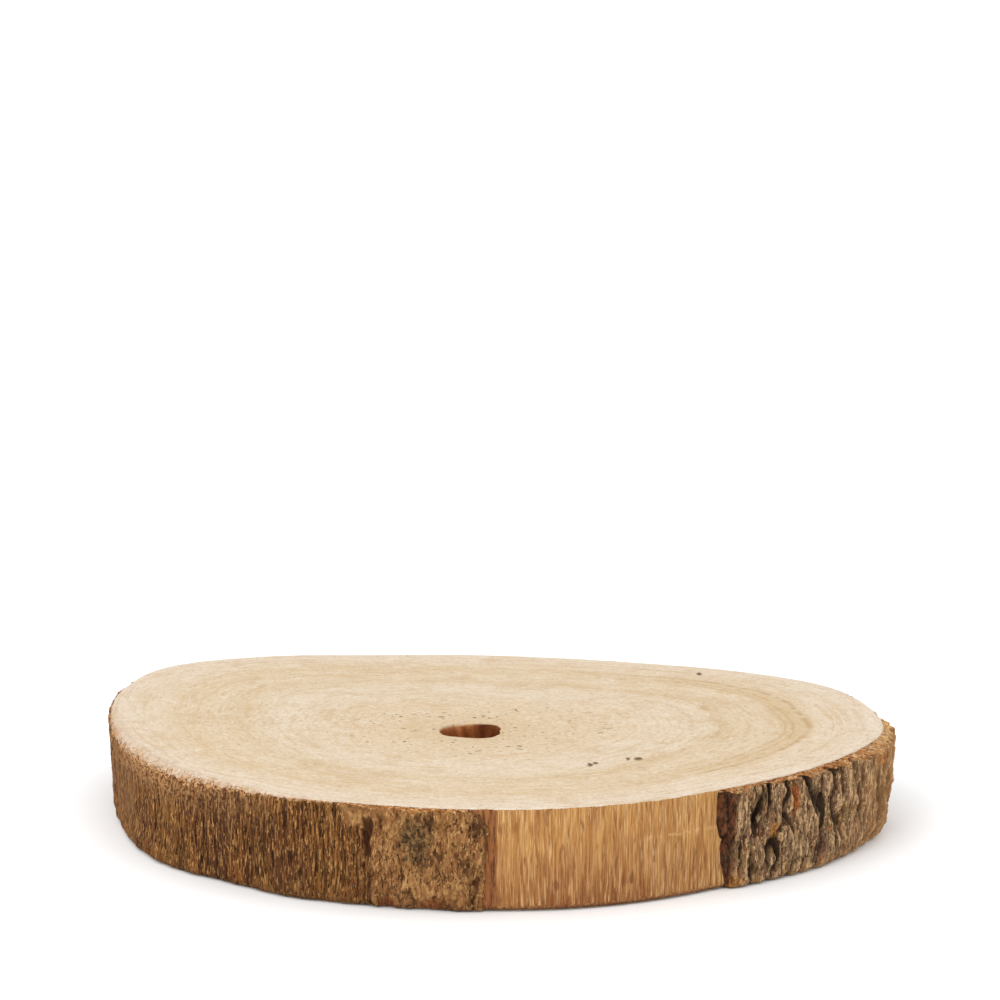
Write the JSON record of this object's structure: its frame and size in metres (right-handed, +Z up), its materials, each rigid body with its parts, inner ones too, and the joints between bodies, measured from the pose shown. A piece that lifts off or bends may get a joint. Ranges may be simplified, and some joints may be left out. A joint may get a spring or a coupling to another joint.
{
  "type": "wood slice",
  "caption": "Thick round slice sawn across a light-wood tree trunk, flat on both faces, with an open pith and rough bark left on part of its rim.",
  "frame": {"origin": "middle of the outline's box, on the underside that the slice lies on", "axes": "+Z up along the trunk, through the slice's thickness; +X along its longest way, towards the end with the thick rough bark; -Y towards the stretch where the rim is bare wood"},
  "size_m": [0.357, 0.3268, 0.044],
  "materials": {
    "sawn_wood": "dry sawn end grain, matt",
    "split_wood": "bare outer wood with upright grain, matt",
    "inner_bark": "fibrous inner bark, matt",
    "outer_bark": "rough furrowed outer bark, matt"
  },
  "bodies": {
    "root": {"wood_slice": "sawn_wood"}
  },
  "joints": []
}
